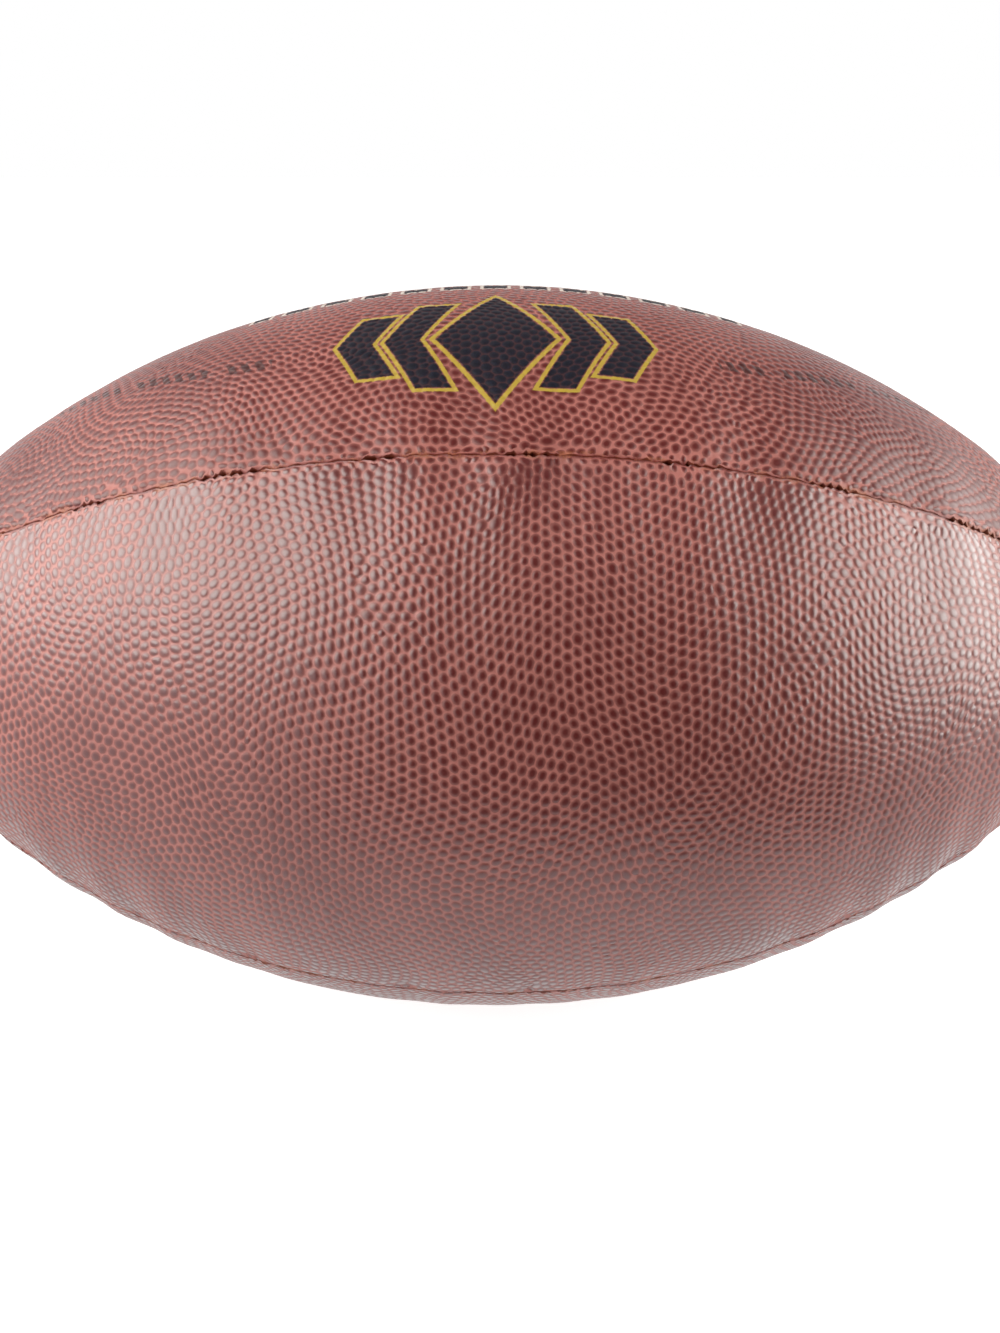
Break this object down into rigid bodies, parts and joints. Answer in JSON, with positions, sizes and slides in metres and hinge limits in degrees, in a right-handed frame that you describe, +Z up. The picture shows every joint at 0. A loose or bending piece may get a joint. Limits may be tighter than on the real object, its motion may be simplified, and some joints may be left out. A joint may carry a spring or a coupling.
{
  "type": "american football",
  "caption": "American football: sewn leather panels over linings and a bladder, laced along one seam, with a needle valve.",
  "frame": {"origin": "centre of the ball", "axes": "+X along the long axis; +Z up as the picture shows the ball, through the middle of panel_top; +Y away from the camera, through the middle of panel_back and the valve; the laced seam lies between +Y and +Z"},
  "size_m": [0.2838, 0.1709, 0.171],
  "materials": {
    "leather": "pebbled, tacky, semi-matt",
    "lining": "woven cotton with a rubber backing",
    "thread": "waxed thread",
    "lace": "smooth coated strip",
    "facing": "split leather",
    "tongue": "smooth split leather",
    "bladder": "matt",
    "valve_rubber": "matt",
    "patch": "rubberised cloth"
  },
  "bodies": {
    "root": {"panel_top": "leather", "panel_back": "leather", "panel_bottom": "leather", "panel_front": "leather", "lining_top": "lining", "lining_back": "lining", "lining_bottom": "lining", "lining_front": "lining", "seam_thread_laced": "thread", "seam_thread_lower_back": "thread", "seam_thread_lower_front": "thread", "seam_thread_upper_front": "thread", "lace": "lace", "lace_facing_top": "facing", "lace_facing_back": "facing", "lace_tongue": "tongue", "bladder": "bladder", "valve_plug": "valve_rubber", "valve_sleeve": "valve_rubber", "valve_patch": "patch"}
  },
  "joints": []
}
